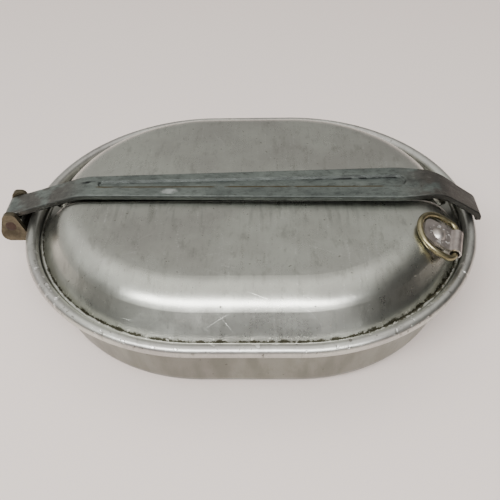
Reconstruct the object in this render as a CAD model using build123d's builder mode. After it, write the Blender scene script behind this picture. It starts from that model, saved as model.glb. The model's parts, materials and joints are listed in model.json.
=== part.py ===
from build123d import *
from math import asin, atan2, cos, degrees, hypot, radians, sin, tan
import os

# Oval field mess kit: a deep pan, a domed lid with a central valley, a strap handle that
# folds over the lid and hooks on the far end of the rim, and a small ring on the lid.
# Millimetres. Origin at the centre of the pan's flat bottom, +Z up, +X toward the hook.

# ---- driving dimensions -------------------------------------------------------------
RIM_LENGTH = 216.0           # outside of the rolled rim, along X
RIM_WIDTH = 174.0            # outside of the rolled rim, along Y
RIM_R = RIM_WIDTH / 2        # the rim is a racetrack: two half rounds and two straights
END_X = (RIM_LENGTH - RIM_WIDTH) / 2

# pan
PAN_SHEET = 1.2
BEAD_R = 2.9                 # outside radius of the outward curl
BEAD_Z = 35.5                # height of the curl's centre
BEAD_CURL = 295.0            # degrees of curl
PAN_FLOOR_INSET = 11.6       # where wall and bottom would meet, measured in from the rim
PAN_FLOOR_FILLET = 10.0
SEAT_Z = 29.5                # foot of the small shoulder that carries the lid
SEAT_RISE = 1.7
SEAT_INSET = 6.1
SEAT_BEND_R = 1.2

# lid
LID_SHEET = 1.0
LID_TOP_Z = 51.0
LID_FLANGE_Z = 34.5
LID_FIT = 0.35               # gap between the lid's skirt and the pan's mouth
SKIRT_BOTTOM_Z = 31.45
SKIRT_EDGE_R = 1.2
DOME_INSET = 7.9             # foot of the dome, measured in from the rim
DOME_SLOPE = 52.0            # degrees from horizontal
SHOULDER_R = 18.0
VALLEY_FLOOR_Z = 37.7
VALLEY_HALF_FLOOR = 3.6
VALLEY_DRAFT = 10.0
VALLEY_EDGE_R = 5.0

# handle
PIN_X = -114.9
PIN_Z = 37.75
PIN_R = 2.0
PIN_PLAY = 0.05
STRAP_T = 2.8
HANDLE_GAP = 0.35            # closed handle above the lid's flat top, where it is nearest
HANDLE_CLIMB = 1.2           # the long stretch rises by this much toward the hook
BEND_IN_X = -79.5            # where the rising stretch meets the long one
BEND_OUT_X = 88.0            # where the long stretch turns down to the hook
HOOK_FACE_X = 110.3          # outer face of the hook's lip
HOOK_SLOPE = 34.0            # degrees from horizontal
HOOK_TIP_Z = 37.5
STRAP_BENDS = (26.0, 22.0, 3.2)
KNUCKLE_CURL = 277.0
KNUCKLE_HALF = 7.3
HANDLE_HALF_WIDTHS = ((-125, 7.3), (-88, 7.3), (71, 11.7), (88, 9.2), (100, 7.6), (115, 7.0))
HANDLE_WIDTH_BENDS = (80, 26, 60, 30)
HANDLE_EDGE_R = 0.7
GROOVE_DEPTH = 1.0
GROOVE_START = (-70.0, 2.2)  # centre and radius of the groove's narrow end
GROOVE_END = (69.5, 4.3)     # and of its wide end
GROOVE_OFFSET = 1.3
GROOVE_DRAFT = 38.0          # the groove is pressed in, so its walls lean and its edges are soft
GROOVE_EDGE_R = 0.3

# hinge bracket, its pin and its rivets
EAR_GAP = 0.3
EAR_T = 2.6
EAR_OUTLINE = ((-120.6, 28.7), (-120.6, 34.3), (-117.5, 44.4), (-111.9, 44.4), (-107.9, 32.7))
EAR_CORNERS = (4.0, 6.0, 2.8, 2.6, 1.0)
WEB_T = 2.6
PLATE_T = 1.8
PLATE_ANGLE = 16.0           # half the arc that the bracket's plate covers
PLATE_BOTTOM_Z = 11.5
PLATE_CORNER_R = 4.0
PIN_HEAD = (2.6, 0.6)        # radius and height
RIVET_R = 1.5
RIVET_HEAD = (3.0, 1.4)
RIVET_TAIL = (3.0, 0.8)
TAIL_GAP = 0.08              # a flat tail on a curved wall touches only along its edge
RIVET_HEIGHTS = (16.5, 24.5)
RIVET_ANGLE = 12.0

# ring, its strap and the strap's rivet
RING_ANGLE = -25.8           # place round the hook end, from +X toward the front
RING_SKEW = 12.0             # the single rivet lets the strap sit a little askew
RING_SLOPE = 27.0            # degrees from horizontal
TAB_T = 0.8
TAB_HALF = 6.2
TAB_TIP = 3.4                # tip of the strap, back from its line of contact
TAB_TIP_R = 3.6
TAB_SEAM = 0.1
BARREL_R = 2.9
BARREL_A = 13.2              # ring's bar, out from the line of contact
BARREL_NECK_R = 1.5
TAB_RIVET_A = 4.1
TAB_RIVET_SEAT = 2.36        # flat of its tail, below the strap and the lid's curved sheet
TAB_RIVET_HEAD = (3.4, 1.6)
TAB_RIVET_TAIL = (2.6, 0.7)
RING_R = 10.6
RING_WIRE_R = 1.35
RING_BAR = 8.6               # from the centre of the ring's bow to its straight bar
RING_TILT = 2.2              # the resting ring leans up a little over the dome's shoulder
RING_CORNER_R = 4.4

PAST = 1.0                   # how far a cut or a block runs on past what it meets
TINY = 0.01

# ---- shared geometry ----------------------------------------------------------------
FRONT_CORNER = Plane(origin=(END_X, 0, 0), x_dir=(0, -1, 0), z_dir=(-1, 0, 0))
BACK_CORNER = Plane(origin=(-END_X, 0, 0), x_dir=(0, 1, 0), z_dir=(1, 0, 0))
HINGE_END = Axis((-END_X, 0, 0), (0, 0, 1))


def carry_round(section, mode=Mode.ADD):
    """Carry a (radius, height) section once round the racetrack, in the part being built."""
    for corner in (FRONT_CORNER, BACK_CORNER):
        face = corner * section
        revolve(face, axis=Axis(corner.origin, (0, 0, 1)), revolution_arc=180, mode=mode)
        extrude(face, amount=2 * END_X, mode=mode)


def drill(plane, radius, depth):
    """Take a round hole along a plane's normal out of the part being built."""
    with Locations(plane):
        Cylinder(radius, depth, mode=Mode.SUBTRACT)


def dome_arc(radius, base, height):
    """Half of a low dome's outline, from its edge at the base to its top on the axis."""
    ball = (radius**2 + height**2) / (2 * height)
    half_turn = asin(radius / abs(ball)) / 2
    middle = (abs(ball) * sin(half_turn), base + height - ball + ball * cos(half_turn))
    ThreePointArc((radius, base), middle, (0, base + height))


def rivet_on(plane, radius, low, high, head, tail):
    """A rivet along a plane's normal, its shank from low to high, domed at both ends."""
    side = Plane(origin=plane.origin, x_dir=plane.x_dir, z_dir=-plane.y_dir)
    with BuildPart() as rivet:
        with BuildSketch(side):
            with BuildLine():
                Line((0, low - tail[1]), (0, high + head[1]))
                dome_arc(head[0], high, head[1])
                Polyline((head[0], high), (radius, high), (radius, low), (tail[0], low))
                dome_arc(tail[0], low, -tail[1])
            make_face()
        revolve(axis=Axis(plane.origin, plane.z_dir))
    return rivet.part


def save(part, label):
    part.label = label
    export_step(part, f"parts/{label}.step")


os.makedirs("parts", exist_ok=True)

# ---- pan ----------------------------------------------------------------------------
bead_r = RIM_R - BEAD_R                  # racetrack radius of the curl's centre
curl_r = BEAD_R - PAN_SHEET / 2
mouth_r = bead_r - curl_r                # middle of the sheet at the mouth
mouth_outer_r = mouth_r + PAN_SHEET / 2
mouth_inner_r = mouth_r - PAN_SHEET / 2
floor_corner_r = RIM_R - PAN_FLOOR_INSET - PAN_SHEET / 2
seat_r = RIM_R - SEAT_INSET - PAN_SHEET / 2
seat_top_z = SEAT_Z + SEAT_RISE
wall_lean = (seat_r - floor_corner_r) / (SEAT_Z - PAN_SHEET / 2)


def wall_radius(height):
    """Outside racetrack radius of the pan's leaning wall at a height."""
    return seat_r + PAN_SHEET / 2 * hypot(1, wall_lean) - (SEAT_Z - height) * wall_lean


def pan_wall_line():
    """Middle of the pan's sheet from the floor's centre up to the start of the curl."""
    FilletPolyline(
        (0, PAN_SHEET / 2),
        (floor_corner_r, PAN_SHEET / 2),
        (seat_r, SEAT_Z),
        (mouth_r, seat_top_z),
        (mouth_r, BEAD_Z),
        radius=[PAN_FLOOR_FILLET - PAN_SHEET / 2, SEAT_BEND_R, SEAT_BEND_R],
    )


with BuildSketch() as pan_section:
    with BuildLine():
        pan_wall_line()
        CenterArc((bead_r, BEAD_Z), curl_r, 180, -BEAD_CURL)
    trace(line_width=PAN_SHEET)

# the bracket's rivets look out along the normal of the end wall
rivet_places = []
for side in (-1, 1):
    for height in RIVET_HEIGHTS:
        turn = radians(180 + side * RIVET_ANGLE)
        radius = wall_radius(height)
        foot = (-END_X + radius * cos(turn), radius * sin(turn), height)
        rivet_places.append(Plane(origin=foot, z_dir=(cos(turn), sin(turn), -wall_lean)))

with BuildPart() as pan:
    carry_round(pan_section.sketch)
    for place in rivet_places:
        drill(place, RIVET_R, 2 * (PAN_SHEET + PAST))
save(pan.part, "pan")

# ---- lid ----------------------------------------------------------------------------
dome_slope = radians(DOME_SLOPE)
valley_draft = radians(VALLEY_DRAFT)


def domed_block(sheet):
    """The lid's dome as a solid block, drawn in by the given thickness from its outside."""
    low = LID_FLANGE_Z - LID_SHEET - sheet * TINY
    top = LID_TOP_Z - sheet
    foot = DOME_INSET - (LID_FLANGE_Z - low) / tan(dome_slope) + sheet / sin(dome_slope)
    floor_z = VALLEY_FLOOR_Z - sheet
    floor_half = VALLEY_HALF_FLOOR + sheet * (1 - sin(valley_draft)) / cos(valley_draft)
    valley_top = LID_TOP_Z + PAST
    mouth_half = floor_half + (valley_top - floor_z) * tan(valley_draft)
    with BuildPart() as block:
        with BuildSketch(Plane.XY.offset(low)):
            SlotOverall(RIM_LENGTH - 2 * foot, RIM_WIDTH - 2 * foot)
        extrude(amount=top - low, taper=90 - DOME_SLOPE)
        fillet(block.faces().sort_by(Axis.Z)[-1].edges(), SHOULDER_R - sheet)
        with BuildSketch(Plane.YZ):
            with BuildLine():
                Polyline(
                    (-floor_half, floor_z),
                    (floor_half, floor_z),
                    (mouth_half, valley_top),
                    (-mouth_half, valley_top),
                    close=True,
                )
            make_face()
        extrude(amount=RIM_LENGTH, both=True, mode=Mode.SUBTRACT)
        lips = block.edges(Select.LAST).filter_by(
            lambda edge: floor_half + TINY < abs(edge.center().Y) < mouth_half
        )
        fillet(lips, VALLEY_EDGE_R - sheet)
    return block.part


skirt_r = mouth_inner_r - LID_FIT - LID_SHEET / 2
flange_z = LID_FLANGE_Z - LID_SHEET / 2
with BuildSketch() as flange_section:
    with BuildLine():
        FilletPolyline(
            (RIM_R - DOME_INSET - 2 * LID_SHEET, flange_z),
            (skirt_r, flange_z),
            (skirt_r, SKIRT_BOTTOM_Z),
            radius=SKIRT_EDGE_R - LID_SHEET / 2,
        )
    trace(line_width=LID_SHEET)

# the ring's strap lies on a plane that touches the dome's end shoulder along one line
ring_slope = radians(RING_SLOPE)
ring_turn = radians(RING_ANGLE)
dome_run = (LID_TOP_Z - LID_FLANGE_Z) / tan(dome_slope)
flat_inset = DOME_INSET + dome_run + SHOULDER_R * tan(dome_slope / 2)
touch_r = RIM_R - flat_inset + SHOULDER_R * sin(ring_slope)
touch_z = LID_TOP_Z - SHOULDER_R * (1 - cos(ring_slope))
outward = Vector(cos(ring_turn), sin(ring_turn), 0)
along_rim = Vector(-sin(ring_turn), cos(ring_turn), 0)
downhill = outward * cos(ring_slope) - Vector(0, 0, sin(ring_slope))
skew = radians(RING_SKEW)
tab_plane = Plane(
    origin=outward * touch_r + Vector(END_X, 0, touch_z),
    x_dir=downhill * cos(skew) + along_rim * sin(skew),
    z_dir=outward * sin(ring_slope) + Vector(0, 0, cos(ring_slope)),
)
tab_rivet_place = Plane(
    origin=tab_plane.from_local_coords(Vector(TAB_RIVET_A, 0, 0)),
    x_dir=tab_plane.x_dir,
    z_dir=tab_plane.z_dir,
)

with BuildPart() as lid:
    add(domed_block(0))
    carry_round(flange_section.sketch)
    add(domed_block(LID_SHEET), mode=Mode.SUBTRACT)
    drill(tab_rivet_place, RIVET_R, 2 * (TAB_RIVET_SEAT + PAST))
save(lid.part, "lid")

# ---- handle -------------------------------------------------------------------------
strap_z = LID_TOP_Z + HANDLE_GAP + STRAP_T / 2
strap_end_z = strap_z + HANDLE_CLIMB
curl_mid_r = PIN_R + PIN_PLAY + STRAP_T / 2
run, climb = BEND_IN_X - PIN_X, strap_z - PIN_Z
rise_angle = atan2(climb, run) - asin(curl_mid_r / hypot(run, climb))
hook_x = HOOK_FACE_X - STRAP_T / 2
hook_corner_z = strap_end_z - (hook_x - BEND_OUT_X) * tan(radians(HOOK_SLOPE))

climb_angle = atan2(HANDLE_CLIMB, BEND_OUT_X - BEND_IN_X)
strap_top = Plane(
    origin=(0, 0, strap_z - BEND_IN_X * tan(climb_angle) + STRAP_T / 2 / cos(climb_angle)),
    x_dir=(cos(climb_angle), 0, sin(climb_angle)),
    z_dir=(-sin(climb_angle), 0, cos(climb_angle)),
)

with BuildPart() as handle:
    with BuildSketch(Plane.XZ):
        with BuildLine():
            curl = CenterArc((PIN_X, PIN_Z), curl_mid_r, 90 + degrees(rise_angle), KNUCKLE_CURL)
            FilletPolyline(
                curl @ 0,
                (BEND_IN_X, strap_z),
                (BEND_OUT_X, strap_end_z),
                (hook_x, hook_corner_z),
                (hook_x, HOOK_TIP_Z),
                radius=STRAP_BENDS,
            )
        trace(line_width=STRAP_T)
    extrude(amount=2 * KNUCKLE_HALF, both=True)
    with BuildSketch():
        with BuildLine():
            front = [(x, -half) for x, half in HANDLE_HALF_WIDTHS]
            back = [(x, half) for x, half in reversed(HANDLE_HALF_WIDTHS)]
            bends = [*HANDLE_WIDTH_BENDS, 0, 0, *reversed(HANDLE_WIDTH_BENDS), 0]
            FilletPolyline(*front, *back, radius=[0, *bends], close=True)
        make_face()
    extrude(amount=strap_end_z + STRAP_T, mode=Mode.INTERSECT)
    rims = handle.edges().filter_by(
        lambda edge: abs(edge.center().Y) > KNUCKLE_HALF - PAST
        and (edge.geom_type != GeomType.LINE or edge.length > 2 * STRAP_T)
    )
    fillet(rims, HANDLE_EDGE_R)
    with BuildSketch(strap_top):
        for centre_x, radius in (GROOVE_START, GROOVE_END):
            with Locations((centre_x, GROOVE_OFFSET)):
                Circle(radius)
        make_hull()
    extrude(amount=-GROOVE_DEPTH, taper=GROOVE_DRAFT, mode=Mode.SUBTRACT)
    lips = handle.edges(Select.LAST).filter_by(lambda edge: edge.length > 2 * GROOVE_DEPTH)
    fillet(lips, GROOVE_EDGE_R)
save(handle.part, "handle")

# ---- hinge bracket ------------------------------------------------------------------
ear_inner = KNUCKLE_HALF + EAR_GAP
ear_outer = ear_inner + EAR_T
bracket_bottom = EAR_OUTLINE[0][1]
web_top = bracket_bottom + WEB_T
mouth_x = -END_X - mouth_outer_r
inside_x = mouth_x + 2 * PAST            # the bracket's block starts inside the pan, then is cut back
slot_length = 2 * (mouth_x - EAR_T - EAR_OUTLINE[0][0] + PAST)
pin_place = Plane(origin=(PIN_X, 0, PIN_Z), x_dir=(1, 0, 0), z_dir=(0, 1, 0))

# the space that the pan takes up, filled, which the bracket fits round
with BuildSketch() as pan_envelope:
    add(pan_section.sketch)
    with BuildLine():
        pan_wall_line()
        Polyline((mouth_r, BEAD_Z), (0, BEAD_Z), (0, PAN_SHEET / 2))
    make_face()
    with Locations((bead_r, BEAD_Z)):
        Circle(BEAD_R)

with BuildSketch(Plane.XZ) as plate_section:
    with BuildLine():
        Polyline(
            (-END_X - wall_radius(PLATE_BOTTOM_Z) + PAST, PLATE_BOTTOM_Z),
            (-END_X - wall_radius(PLATE_BOTTOM_Z) - PLATE_T, PLATE_BOTTOM_Z),
            (-END_X - wall_radius(web_top) - PLATE_T, web_top),
            (-END_X - wall_radius(web_top) + PAST, web_top),
            close=True,
        )
    make_face()

with BuildPart() as hinge_bracket:
    with BuildSketch(Plane.XZ):
        with BuildLine():
            FilletPolyline(
                *EAR_OUTLINE,
                (inside_x, EAR_OUTLINE[-1][1]),
                (inside_x, bracket_bottom),
                radius=[*EAR_CORNERS, 0, 0],
                close=True,
            )
        make_face()
    extrude(amount=ear_outer, both=True)
    with BuildSketch(Plane.XY.offset(web_top)):
        with Locations((mouth_x - EAR_T, 0)):
            Rectangle(slot_length, 2 * ear_inner)
    extrude(amount=BEAD_Z, mode=Mode.SUBTRACT)
    revolve(plate_section.sketch, axis=HINGE_END, revolution_arc=PLATE_ANGLE)
    revolve(plate_section.sketch, axis=HINGE_END, revolution_arc=-PLATE_ANGLE)
    carry_round(pan_envelope.sketch, mode=Mode.SUBTRACT)
    plate_corners = hinge_bracket.edges().filter_by(
        lambda edge: edge.center().Z < PLATE_BOTTOM_Z + PAST and edge.length < 2 * PLATE_T
    )
    fillet(plate_corners, PLATE_CORNER_R)
    drill(pin_place, PIN_R, 2 * (ear_outer + PAST))
    for place in rivet_places:
        drill(place, RIVET_R, 2 * (PLATE_T + PAST))
save(hinge_bracket.part, "hinge_bracket")

# ---- pin and rivets -----------------------------------------------------------------
save(rivet_on(pin_place, PIN_R, -ear_outer, ear_outer, PIN_HEAD, PIN_HEAD), "hinge_pin")
for number, place in enumerate(rivet_places, start=1):
    rivet = rivet_on(place, RIVET_R, -PAN_SHEET - TAIL_GAP, PLATE_T, RIVET_HEAD, RIVET_TAIL)
    save(rivet, f"bracket_rivet_{number}")

# ---- ring strap and its rivet -------------------------------------------------------
seam_n = TAB_T + TAB_SEAM / 2            # height of the seam between the strap's two layers
tab_side = Plane(origin=tab_plane.origin, x_dir=tab_plane.x_dir, z_dir=-tab_plane.y_dir)
neck_a = BARREL_A - (BARREL_R**2 - seam_n**2) ** 0.5

with BuildPart() as ring_strap:
    with BuildSketch(tab_side) as fold:
        with Locations((BARREL_A, seam_n)):
            Circle(BARREL_R)
        with Locations(((BARREL_A - TAB_TIP) / 2, seam_n)):
            Rectangle(BARREL_A + TAB_TIP, 2 * seam_n)
        necks = fold.vertices().filter_by(lambda vertex: abs(vertex.X - neck_a) < TINY)
        fillet(necks, BARREL_NECK_R)
        with Locations((BARREL_A, seam_n)):
            Circle(BARREL_R - TAB_T, mode=Mode.SUBTRACT)
        with Locations((BARREL_A / 2 - TAB_TIP, seam_n)):
            Rectangle(BARREL_A + 2 * TAB_TIP, TAB_SEAM, mode=Mode.SUBTRACT)
    extrude(amount=TAB_HALF, both=True)
    corners = ring_strap.edges().filter_by(Axis(tab_plane.origin, tab_plane.z_dir))
    fillet(corners.group_by(Axis(tab_plane.origin, tab_plane.x_dir))[0], TAB_TIP_R)
    drill(tab_rivet_place, RIVET_R, 2 * (2 * seam_n + PAST))
save(ring_strap.part, "ring_strap")
save(
    rivet_on(tab_rivet_place, RIVET_R, -TAB_RIVET_SEAT, 2 * seam_n, TAB_RIVET_HEAD, TAB_RIVET_TAIL),
    "strap_rivet",
)

# ---- ring ---------------------------------------------------------------------------
ring_tilt = radians(RING_TILT)
ring_plane = Plane(
    origin=tab_plane.from_local_coords(Vector(BARREL_A, 0, seam_n)),
    x_dir=tab_plane.x_dir * cos(ring_tilt) - tab_plane.z_dir * sin(ring_tilt),
    z_dir=tab_plane.x_dir * sin(ring_tilt) + tab_plane.z_dir * cos(ring_tilt),
)

with BuildPart() as lid_ring:
    with BuildLine(ring_plane) as ring_line:
        CenterArc((-RING_BAR, 0), RING_R, 90, 180)
        FilletPolyline(
            (-RING_BAR, -RING_R),
            (0, -RING_R),
            (0, RING_R),
            (-RING_BAR, RING_R),
            radius=RING_CORNER_R,
        )
    ring_path = Wire(ring_line.line.edges())
    with BuildSketch(Plane(origin=ring_path @ 0, z_dir=ring_path % 0)):
        Circle(RING_WIRE_R)
    sweep(path=ring_path)
save(lid_ring.part, "lid_ring")
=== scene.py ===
import json
import math

import bpy
from mathutils import Matrix, Vector


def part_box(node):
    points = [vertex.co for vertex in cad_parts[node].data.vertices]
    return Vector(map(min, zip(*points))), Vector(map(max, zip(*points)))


# An oval field mess kit, closed, on a pale floor. Metres, in the CAD frame: the pan's bottom
# rests at z = 0, +X points toward the handle's hook and -Y toward the camera. Colours are
# linear red, green, blue and alpha.

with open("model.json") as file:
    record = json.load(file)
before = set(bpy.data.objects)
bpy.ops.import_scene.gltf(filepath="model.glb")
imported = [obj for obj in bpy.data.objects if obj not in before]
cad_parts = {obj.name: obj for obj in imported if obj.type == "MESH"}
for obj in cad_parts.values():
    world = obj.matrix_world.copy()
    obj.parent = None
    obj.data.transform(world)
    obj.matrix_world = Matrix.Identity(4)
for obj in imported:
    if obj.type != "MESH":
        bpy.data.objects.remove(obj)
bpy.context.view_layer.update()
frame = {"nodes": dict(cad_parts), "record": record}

# ---- places -------------------------------------------------------------------------------
pan_low, pan_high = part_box("pan")
rivet_low, rivet_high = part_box("strap_rivet")
rim_r = (pan_high.y - pan_low.y) / 2            # the rim is a racetrack: this round, and
straight = pan_high.x - rim_r                   # straights that reach this far each way
bead_z = pan_high.z                             # top of the rolled rim
strap_rivet = (rivet_low + rivet_high) / 2

LIP_Z = 0.0345                                  # the lid's narrow lip
DOME_FOOT_INSET = 0.0079                        # where the dome meets the lip, in from the rim
GROOVE = ((-0.070, 0.0022), (0.0695, 0.0043))   # the handle's groove: x and radius of its ends
GROOVE_Y = 0.0013                               # its middle line
WORN_SPOT = (-0.0375, -0.0052)                  # x and y of the bright spot on the handle
RUBBED = (-0.01, -0.012)                        # x and y of the middle of the lid's rubs

# For window(): where a kind of wear, dirt or painted shade is absent, and where it is full.
BEAD_TOP_Z = (bead_z - 0.0035, bead_z - 0.001)
BEAD_FRONT_Y = (0.02, -0.07)
WALL_Z = (bead_z - 0.006, bead_z - 0.009)
DOME_FOOT_Z = (LIP_Z + 0.0030, LIP_Z + 0.0008)
THICK_DIRT_X = (0.02, 0.08)
RUBBED_REACH_X = (0.08, 0.05)
RUBBED_REACH_Y = (0.020, 0.006)
UNDER_HANDLE_Y = (0.0125, 0.0090)
VALLEY_Z = (0.0506, 0.0485)
HOOK_X = (0.066, 0.086)
KNUCKLE_X = (-0.074, -0.092)
CLEAR_OF_KNUCKLE_X = (-0.113, -0.104)
SOOT_START_X = (-0.082, -0.078)
SOOT_LEFT_X = (-0.050, -0.060)
SOOT_RIGHT_X = (0.015, 0.045)
PUNCHED_REACH = (0.0062, 0.0048)                # from the middle of the strap's rivet


# ---- node helpers ---------------------------------------------------------------------------
class Nodes:
    """A node tree. From math() on, each method adds nodes for sockets or constants and
    returns what they put out."""

    def __init__(self, tree):
        self.tree = tree

    def add(self, kind, **settings):
        node = self.tree.nodes.new(kind)
        for key, value in settings.items():
            setattr(node, key, value)
        return node

    def plug(self, socket, value):
        """Links value to the socket, or sets it there if it is a constant."""
        if isinstance(value, bpy.types.NodeSocket):
            self.tree.links.new(value, socket)
        else:
            socket.default_value = value

    def math(self, operation, *values):
        node = self.add("ShaderNodeMath", operation=operation)
        for socket, value in zip(node.inputs, values):
            self.plug(socket, value)
        return node.outputs[0]

    def fold(self, operation, values):
        """The operation on the first two values, then on that and the third, and so on."""
        result = values[0]
        for value in values[1:]:
            result = self.math(operation, result, value)
        return result

    def times(self, *values):
        return self.fold("MULTIPLY", values)

    def plus(self, *values):
        return self.fold("ADD", values)

    def most(self, *values):
        return self.fold("MAXIMUM", values)

    def minus(self, a, b):
        return self.math("SUBTRACT", a, b)

    def absolute(self, value):
        return self.math("ABSOLUTE", value)

    def scaled(self, value, factor, offset):
        """value * factor + offset."""
        return self.math("MULTIPLY_ADD", value, factor, offset)

    def apart(self, a, b):
        """How far a is from b."""
        return self.absolute(self.minus(a, b))

    def split(self, vector):
        node = self.add("ShaderNodeSeparateXYZ")
        self.plug(node.inputs[0], vector)
        return node.outputs

    def window(self, value, start, end):
        """0 where value is at start, 1 where it is at end, smooth between."""
        node = self.add("ShaderNodeMapRange", interpolation_type="SMOOTHSTEP")
        for key, setting in (("Value", value), ("From Min", start), ("From Max", end)):
            self.plug(node.inputs[key], setting)
        return node.outputs[0]

    def mix(self, share, a, b):
        """Colour a, going over to colour b as share goes from 0 to 1."""
        node = self.add("ShaderNodeMix", data_type="RGBA")
        colours = [socket for socket in node.inputs if socket.type == "RGBA"]
        self.plug(node.inputs["Factor"], share)
        for socket, value in zip(colours, (a, b)):
            self.plug(socket, value)
        return next(socket for socket in node.outputs if socket.type == "RGBA")


class Finish(Nodes):
    """One procedural material, laid out in the frame's own metres on the piece at rest."""

    def __init__(self, name, metallic=1.0):
        self.material = bpy.data.materials.new(name)
        self.material.use_nodes = True
        super().__init__(self.material.node_tree)
        self.shader = self.tree.nodes["Principled BSDF"]
        self.shader.inputs["Metallic"].default_value = metallic
        coordinates = self.add("ShaderNodeTexCoord")
        self.place = coordinates.outputs["Object"]
        self.x, self.y, self.z = self.split(self.place)
        # how far the surface faces along X, along Y and up
        self.along, self.across, self.up = self.split(coordinates.outputs["Normal"])

    def noise(self, scale, detail=3.0, roughness=0.5, stretch=(1, 1, 1), turn=0.0, shift=0.0):
        """Smooth noise from 0 to 1. The place is turned about Z, then stretched, before use."""
        turned = self.add("ShaderNodeMapping")
        self.plug(turned.inputs["Vector"], self.place)
        turned.inputs["Rotation"].default_value = (0, 0, turn)
        turned.inputs["Location"].default_value = (shift, shift, shift)
        stretched = self.add("ShaderNodeVectorMath", operation="MULTIPLY")
        self.plug(stretched.inputs[0], turned.outputs[0])
        stretched.inputs[1].default_value = stretch
        node = self.add("ShaderNodeTexNoise")
        self.plug(node.inputs["Vector"], stretched.outputs[0])
        node.inputs["Scale"].default_value = scale
        node.inputs["Detail"].default_value = detail
        node.inputs["Roughness"].default_value = roughness
        return node.outputs["Fac"]

    def specks(self, scale, cut, shift):
        """1 on small scattered spots; a higher cut leaves fewer of them."""
        return self.window(self.noise(scale, detail=1.0, shift=shift), cut, cut + 0.04)

    def scratches(self, turn, spacing, width, shift):
        """1 on fine, long, broken lines along one direction."""
        lines = self.noise(
            1 / spacing, detail=1.0, stretch=(0.05, 1, 0.3), turn=turn, shift=shift
        )
        broken = self.window(self.noise(0.5 / spacing, detail=1.0, shift=shift + 3), 0.56, 0.66)
        return self.times(self.window(self.apart(lines, 0.5), width, 0), broken)

    def bump(self, height, depth):
        """Adds a height map to the surface's normal, on top of what is there."""
        node = self.add("ShaderNodeBump")
        node.inputs["Distance"].default_value = depth
        self.plug(node.inputs["Height"], height)
        normal = self.shader.inputs["Normal"]
        if normal.is_linked:
            self.plug(node.inputs["Normal"], normal.links[0].from_socket)
        self.plug(normal, node.outputs[0])

    def colour(self, value):
        self.plug(self.shader.inputs["Base Color"], value)

    def roughness(self, value):
        self.plug(self.shader.inputs["Roughness"], value)

    def racetrack(self):
        """Distance from the racetrack's middle line: rim_r at the rim all the way round."""
        past = self.most(self.minus(self.absolute(self.x), straight), 0.0)
        return self.math("SQRT", self.plus(self.times(past, past), self.times(self.y, self.y)))


# ---- aluminium ----------------------------------------------------------------------------
BRUSHED_DARK = (0.20, 0.20, 0.17, 1)
BRUSHED_LIGHT = (0.95, 0.95, 0.92, 1)
MOTTLED = (0.22, 0.22, 0.19, 1)
SCRATCHED = (0.90, 0.90, 0.86, 1)
PITTED = (0.08, 0.07, 0.05, 1)
SCRATCHES = (                                   # turn, spacing, width and shift
    (0.4, 0.007, 0.006, 1.0),
    (1.3, 0.009, 0.005, 3.6),
    (2.2, 0.008, 0.005, 3.2),
    (2.8, 0.012, 0.005, 4.8),
)


def worn_aluminium(name, light, dark, rough, shift):
    """Old drawn aluminium: cloudy grey, faint brushing, fine scratches, small pits."""
    f = Finish(name)
    clouds = f.noise(22, detail=7.0, roughness=0.62, shift=shift)
    colour = f.mix(f.window(clouds, 0.3, 0.7), dark, light)
    brushing = f.noise(700, detail=3.0, stretch=(1, 0.05, 0.05), shift=shift + 2)
    grain = f.noise(1300, detail=2.0, shift=shift + 4)
    fine = f.plus(f.times(brushing, 0.5), f.times(grain, 0.5))
    colour = f.mix(f.times(f.window(fine, 0.42, 0.30), 0.30), colour, BRUSHED_DARK)
    colour = f.mix(f.times(f.window(fine, 0.58, 0.70), 0.30), colour, BRUSHED_LIGHT)
    marks = f.most(*(
        f.scratches(turn, spacing, width, shift + own_shift)
        for turn, spacing, width, own_shift in SCRATCHES
    ))
    mottling = f.noise(260, detail=5.0, roughness=0.7, stretch=(1, 0.4, 0.4), shift=shift + 21)
    colour = f.mix(f.times(f.window(mottling, 0.50, 0.30), 0.35), colour, MOTTLED)
    pits = f.specks(420, 0.755, shift)
    colour = f.mix(f.times(marks, 0.13), colour, SCRATCHED)
    colour = f.mix(f.times(pits, 0.6), colour, PITTED)
    haze = f.scaled(f.noise(60, detail=6.0, roughness=0.7, shift=shift + 5), 0.14, rough)
    f.roughness(f.plus(haze, f.times(fine, 0.08), f.times(pits, 0.3)))
    f.bump(fine, 0.00002)
    f.bump(f.noise(30, detail=2.0, shift=shift + 13), 0.0007)
    f.bump(marks, -0.000015)
    return f, colour


BEAD_NICKED = (0.93, 0.92, 0.88, 1)
BEAD_CHIPPED = (0.12, 0.11, 0.09, 1)
WALL_DULL_AND_SHADED = (0.13, 0.136, 0.108, 1)


def pan_finish():
    """The pan: nicked and chipped along the rim's front; the outside of its wall is dull and
    streaked, and further darkened with painted shade for the shaded floor it reflects.
    """
    light, dark = (0.60, 0.605, 0.555, 1), (0.44, 0.425, 0.405, 1)
    f, colour = worn_aluminium("pan_aluminium", light, dark, rough=0.26, shift=0.0)
    on_bead = f.times(f.window(f.z, *BEAD_TOP_Z), f.window(f.y, *BEAD_FRONT_Y))
    nicks = f.times(f.specks(330, 0.67, 71), on_bead)
    chips = f.times(f.specks(450, 0.69, 83), on_bead)
    colour = f.mix(f.times(nicks, 0.7), colour, BEAD_NICKED)
    colour = f.mix(f.times(chips, 0.6), colour, BEAD_CHIPPED)
    f.bump(nicks, -0.0002)

    # outside of the wall: real dull streaks, plus painted shade that darkens it beyond the bare
    # metal
    streaks = f.noise(130, detail=4.0, stretch=(1, 1, 0.12), shift=91)
    outward = f.plus(f.times(f.along, f.x), f.times(f.across, f.y))
    on_wall = f.times(f.window(f.z, *WALL_Z), f.window(outward, 0.0, 0.03))
    dulled_and_shaded = f.scaled(f.window(streaks, 0.42, 0.66), 0.14, 0.70)
    f.colour(f.mix(f.times(dulled_and_shaded, on_wall), colour, WALL_DULL_AND_SHADED))
    return f.material


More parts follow.
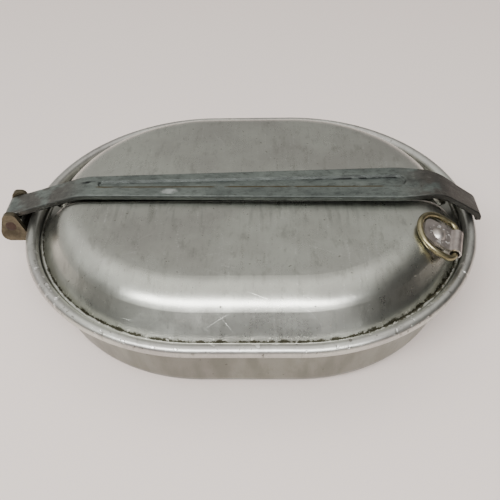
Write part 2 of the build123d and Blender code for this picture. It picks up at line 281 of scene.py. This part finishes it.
CREASE_DIRT = (0.045, 0.04, 0.018, 1)
CREASE_NICKED = (0.95, 0.94, 0.86, 1)
LID_RUBBED = (0.25, 0.26, 0.23, 1)
VALLEY_PAINTED_SHADE = (0.10, 0.095, 0.085, 1)


def lid_finish():
    """The lid: dirt and bright nicks at the dome's foot, rubs in front of the handle and
    painted shade in the valley under it."""
    light, dark = (0.60, 0.615, 0.55, 1), (0.46, 0.455, 0.415, 1)
    f, colour = worn_aluminium("lid_aluminium", light, dark, rough=0.18, shift=40.0)

    off_foot = f.apart(f.racetrack(), rim_r - DOME_FOOT_INSET)
    low = f.window(f.z, *DOME_FOOT_Z)
    uneven = f.window(f.noise(230, detail=5.0, roughness=0.75, shift=60), 0.40, 0.62)
    thick = f.scaled(f.window(f.x, *THICK_DIRT_X), 0.0008, 0.0009)
    width = f.scaled(uneven, thick, 0.0001)
    dirt = f.times(f.window(off_foot, width, f.times(width, 0.4)), low)
    nicks = f.times(f.specks(520, 0.66, 66), f.window(off_foot, 0.0016, 0.0006), low)
    colour = f.mix(f.times(dirt, 0.9), colour, CREASE_DIRT)
    colour = f.mix(f.times(nicks, 0.8), colour, CREASE_NICKED)

    rubbed_x, rubbed_y = RUBBED
    rubbed = f.times(
        f.window(f.apart(f.y, rubbed_y), *RUBBED_REACH_Y),
        f.window(f.apart(f.x, rubbed_x), *RUBBED_REACH_X),
    )
    rubs = f.window(f.noise(420, detail=3.0, stretch=(1, 0.10, 1), shift=77), 0.52, 0.66)
    colour = f.mix(f.times(rubs, rubbed, 0.32), colour, LID_RUBBED)

    # painted shade: the valley under the handle is darkened as if in the handle's shadow
    valley_shade = f.times(f.window(f.absolute(f.y), *UNDER_HANDLE_Y), f.window(f.z, *VALLEY_Z))
    f.colour(f.mix(f.times(valley_shade, 0.6), colour, VALLEY_PAINTED_SHADE))
    return f.material


# ---- handle -------------------------------------------------------------------------------
ZINC_DARK = (0.135, 0.155, 0.145, 1)
ZINC_LIGHT = (0.255, 0.285, 0.262, 1)
BROWNED = (0.115, 0.103, 0.092, 1)
BLOTCHED_DARK = (0.05, 0.052, 0.048, 1)
BLOTCHED_LIGHT = (0.34, 0.35, 0.32, 1)
GROOVE_SHADE = (0.06, 0.075, 0.075, 1)
STAIN = (0.10, 0.072, 0.028, 1)
SOOT = (0.018, 0.02, 0.02, 1)
WORN_BRIGHT = (0.72, 0.75, 0.73, 1)
HANDLE_PITTED = (0.06, 0.06, 0.055, 1)
SIDE_SHADE_AND_DIRT = (0.035, 0.037, 0.035, 1)


def groove_marks(f, colour):
    """A stain on the groove's front lip, shade in its back half, soot on its back wall."""
    (start_x, start_r), (end_x, end_r) = GROOVE
    share = f.math("DIVIDE", f.minus(f.x, start_x), end_x - start_x)
    half = f.scaled(share, end_r - start_r, start_r)
    inside = f.times(
        f.window(f.x, start_x - 0.004, start_x), f.window(f.x, end_x + 0.002, end_x)
    )
    on_top = f.window(f.up, 0.3, 0.7)

    front = f.window(f.apart(f.y, f.minus(GROOVE_Y - 0.0003, half)), 0.0008, 0.0003)
    patchy = f.window(f.noise(60, detail=4.0, shift=17), 0.36, 0.48)
    stain = f.times(front, inside, patchy, 0.9)

    back = f.window(f.apart(f.y, f.plus(GROOVE_Y - 0.0008, half)), 0.0014, 0.0004)
    sides = f.plus(f.window(f.x, *SOOT_RIGHT_X), f.window(f.x, *SOOT_LEFT_X))
    start, stop = f.window(f.x, *SOOT_START_X), f.window(f.x, end_x + 0.004, end_x)
    flecks = f.window(f.noise(240, detail=2.0, stretch=(0.6, 1, 1), shift=23), 0.44, 0.54)
    soot = f.times(back, stop, start, sides, flecks)

    back_half = f.window(f.minus(f.y, GROOVE_Y), -0.001, 0.003)
    before_wall = f.window(f.minus(f.y, half), GROOVE_Y + 0.0004, GROOVE_Y - 0.0004)
    shade = f.times(back_half, inside, 0.35, before_wall)

    colour = f.mix(f.times(shade, on_top), colour, GROOVE_SHADE)
    colour = f.mix(f.times(stain, on_top), colour, STAIN)
    return f.mix(f.times(soot, on_top, 0.95), colour, SOOT)


def worn_spot(f, colour):
    """An oval patch rubbed down to brighter metal."""
    worn_x, worn_y = WORN_SPOT
    oval = f.plus(
        f.math("POWER", f.times(f.minus(f.x, worn_x), 190.0), 2.0),
        f.math("POWER", f.times(f.minus(f.y, worn_y), 420.0), 2.0),
    )
    patchy = f.window(f.noise(200, detail=4.0, shift=31), 0.35, 0.6)
    return f.mix(f.times(f.window(oval, 1.0, 0.2), patchy, 0.6), colour, WORN_BRIGHT)


def handle_finish():
    """Zinc on steel: dull blue-grey, darkened on its side faces by painted shade and some dirt,
    browned and worn in places.
    """
    f = Finish("handle_steel")
    clouds = f.noise(60, detail=7.0, roughness=0.68, stretch=(0.5, 1, 1), shift=2)
    colour = f.mix(f.window(clouds, 0.3, 0.7), ZINC_DARK, ZINC_LIGHT)
    ends = f.plus(f.window(f.x, *HOOK_X), f.times(f.window(f.x, *KNUCKLE_X), 0.85))
    patchy = f.window(f.noise(110, detail=5.0, shift=12), 0.32, 0.50)
    colour = f.mix(f.times(ends, patchy, 0.9), colour, BROWNED)
    blotches = f.noise(420, detail=5.0, roughness=0.75, stretch=(0.6, 1, 1), shift=14)
    colour = f.mix(f.times(f.window(blotches, 0.52, 0.36), 0.42), colour, BLOTCHED_DARK)
    colour = f.mix(f.times(f.window(blotches, 0.56, 0.70), 0.35), colour, BLOTCHED_LIGHT)

    colour = groove_marks(f, colour)
    colour = worn_spot(f, colour)
    colour = f.mix(f.times(f.specks(520, 0.71, 41), 0.5), colour, HANDLE_PITTED)
    # painted shade with some dirt: faces that look along Y are darkened, as if they stood in
    # shade
    side_shade_and_dirt = f.times(
        f.window(f.absolute(f.across), 0.15, 0.70), f.window(f.x, *CLEAR_OF_KNUCKLE_X)
    )
    f.colour(f.mix(f.times(side_shade_and_dirt, 0.85), colour, SIDE_SHADE_AND_DIRT))
    f.roughness(f.scaled(f.noise(150, detail=5.0, shift=8), 0.3, 0.33))
    f.bump(f.noise(330, detail=5.0, roughness=0.7, shift=4), 0.0002)
    return f.material


# ---- small parts --------------------------------------------------------------------------
SMALL_PITTED = (0.04, 0.035, 0.03, 1)
PUNCHED = (0.95, 0.93, 0.90, 1)


def plain_metal(name, light, dark, rough, shift):
    """Clouded metal with small dark pits."""
    f = Finish(name)
    clouds = f.noise(170, detail=6.0, roughness=0.65, shift=shift)
    colour = f.mix(f.window(clouds, 0.35, 0.65), dark, light)
    pits = f.specks(900, 0.72, shift + 9)
    f.colour(f.mix(f.times(pits, 0.7), colour, SMALL_PITTED))
    f.roughness(f.scaled(f.noise(300, detail=4.0, shift=shift + 3), 0.2, rough))
    f.bump(f.noise(500, detail=4.0, roughness=0.65, shift=shift + 6), 0.0001)
    return f, colour


def strap_finish():
    """The ring's strap: greyish, with bright punch marks round its rivet and no pits."""
    light, dark = (0.50, 0.45, 0.42, 1), (0.34, 0.30, 0.28, 1)
    f, colour = plain_metal("strap_aluminium", light, dark, rough=0.35, shift=30)
    offset = f.add("ShaderNodeVectorMath", operation="DISTANCE")
    f.plug(offset.inputs[0], f.place)
    offset.inputs[1].default_value = strap_rivet
    near = f.window(offset.outputs["Value"], *PUNCHED_REACH)
    marks = f.times(f.specks(620, 0.58, 37), near)
    f.colour(f.mix(f.times(marks, 0.9), colour, PUNCHED))
    f.bump(marks, -0.0002)
    return f.material


finishes = {
    "pan_aluminium": pan_finish(),
    "lid_aluminium": lid_finish(),
    "handle_steel": handle_finish(),
    "strap_aluminium": strap_finish(),
}
for slot, light, dark, rough, shift in (
    ("bracket_steel", (0.150, 0.130, 0.090, 1), (0.072, 0.061, 0.042, 1), 0.38, 20),
    ("pin_steel", (0.095, 0.066, 0.055, 1), (0.045, 0.032, 0.026, 1), 0.45, 22),
    ("rivet_aluminium", (0.60, 0.56, 0.53, 1), (0.40, 0.36, 0.33, 1), 0.30, 25),
    ("ring_brass", (0.37, 0.33, 0.20, 1), (0.19, 0.165, 0.095, 1), 0.22, 35),
):
    finishes[slot] = plain_metal(slot, light, dark, rough, shift)[0].material

for part in frame["record"]["subparts"]:
    node = frame["nodes"][part["node"]]
    node.data.materials.clear()
    node.data.materials.append(finishes[part["material_slot"]])


# ---- floor and light ----------------------------------------------------------------------
FLOOR_SIZE = 8.0
FLOOR_COLOUR = (0.88, 0.775, 0.72, 1)
FLOOR_ROUGHNESS = 0.9
WORLD_COLOUR = (1.0, 0.985, 0.95, 1)
BASE, WALL, LEFT, CEILING, GLOW = 0.055, 0.36, 0.20, 1.1, 0.04      # the world's strengths
GLOW_TOWARD = (-0.30, -0.55, 0.78)              # beside the lamp, on its left


def floor():
    bpy.ops.mesh.primitive_plane_add(size=FLOOR_SIZE, location=(0, 0, 0))
    plane = bpy.context.object
    plane.name = "floor"
    f = Finish("floor", metallic=0.0)
    f.colour(FLOOR_COLOUR)
    f.roughness(FLOOR_ROUGHNESS)
    plane.data.materials.append(f.material)


def soft_box(name, place, aim, size, watts):
    light = bpy.data.lights.new(name, "AREA")
    light.shape = "RECTANGLE"
    light.size, light.size_y = size
    light.energy = watts
    lamp = bpy.data.objects.new(name, light)
    lamp.location = place
    lamp.rotation_euler = (Vector(aim) - Vector(place)).to_track_quat("-Z", "Y").to_euler()
    bpy.context.scene.collection.objects.link(lamp)


def studio():
    """What the metal reflects: a dim wall behind, some light from the left, a bright
    ceiling and a faint glow by the lamp. The right and the front stay dark."""
    world = bpy.data.worlds.new("studio")
    world.use_nodes = True
    bpy.context.scene.world = world
    n = Nodes(world.node_tree)
    x, y, z = n.split(n.add("ShaderNodeTexCoord").outputs["Generated"])
    wall = n.times(n.window(y, -0.3, 0.4), n.window(x, 1.0, 0.4), WALL)
    left = n.times(n.window(x, 0.0, -0.8), n.window(y, -0.6, 0.1), LEFT)
    ceiling = n.times(n.window(z, 0.65, 1.0), CEILING)
    toward = n.plus(*(n.times(axis, share) for axis, share in zip((x, y, z), GLOW_TOWARD)))
    glow = n.times(n.window(toward, 0.85, 0.98), GLOW)
    background = world.node_tree.nodes["Background"]
    background.inputs["Color"].default_value = WORLD_COLOUR
    n.plug(background.inputs["Strength"], n.plus(BASE, wall, left, ceiling, glow))


floor()
studio()
soft_box("lamp", place=(-0.14, -0.90, 1.10), aim=(0, -0.05, 0), size=(1.75, 0.32), watts=31)
soft_box("window", place=(-1.40, 0.35, 1.20), aim=(0, 0, 0), size=(1.5, 1.2), watts=2.5)

# ---- camera -------------------------------------------------------------------------------
CAMERA_PLACE = Vector((0.0077, -0.2475, 0.2412))
CAMERA_AZIMUTH = math.radians(1.885)
CAMERA_ELEVATION = math.radians(42.786)
CAMERA_ROLL = math.radians(-1.561)
LENS_MM = 47.14
SENSOR_MM = 36.0
NEAREST_SEEN = 0.01

camera_data = bpy.data.cameras.new("camera")
camera_data.lens = LENS_MM
camera_data.sensor_width = SENSOR_MM
camera_data.clip_start = NEAREST_SEEN
camera = bpy.data.objects.new("camera", camera_data)
camera.matrix_world = (
    Matrix.Translation(CAMERA_PLACE)
    @ Matrix.Rotation(CAMERA_AZIMUTH, 4, "Z")
    @ Matrix.Rotation(math.pi / 2 - CAMERA_ELEVATION, 4, "X")
    @ Matrix.Rotation(CAMERA_ROLL, 4, "Z")
)
bpy.context.scene.collection.objects.link(camera)
bpy.context.scene.camera = camera
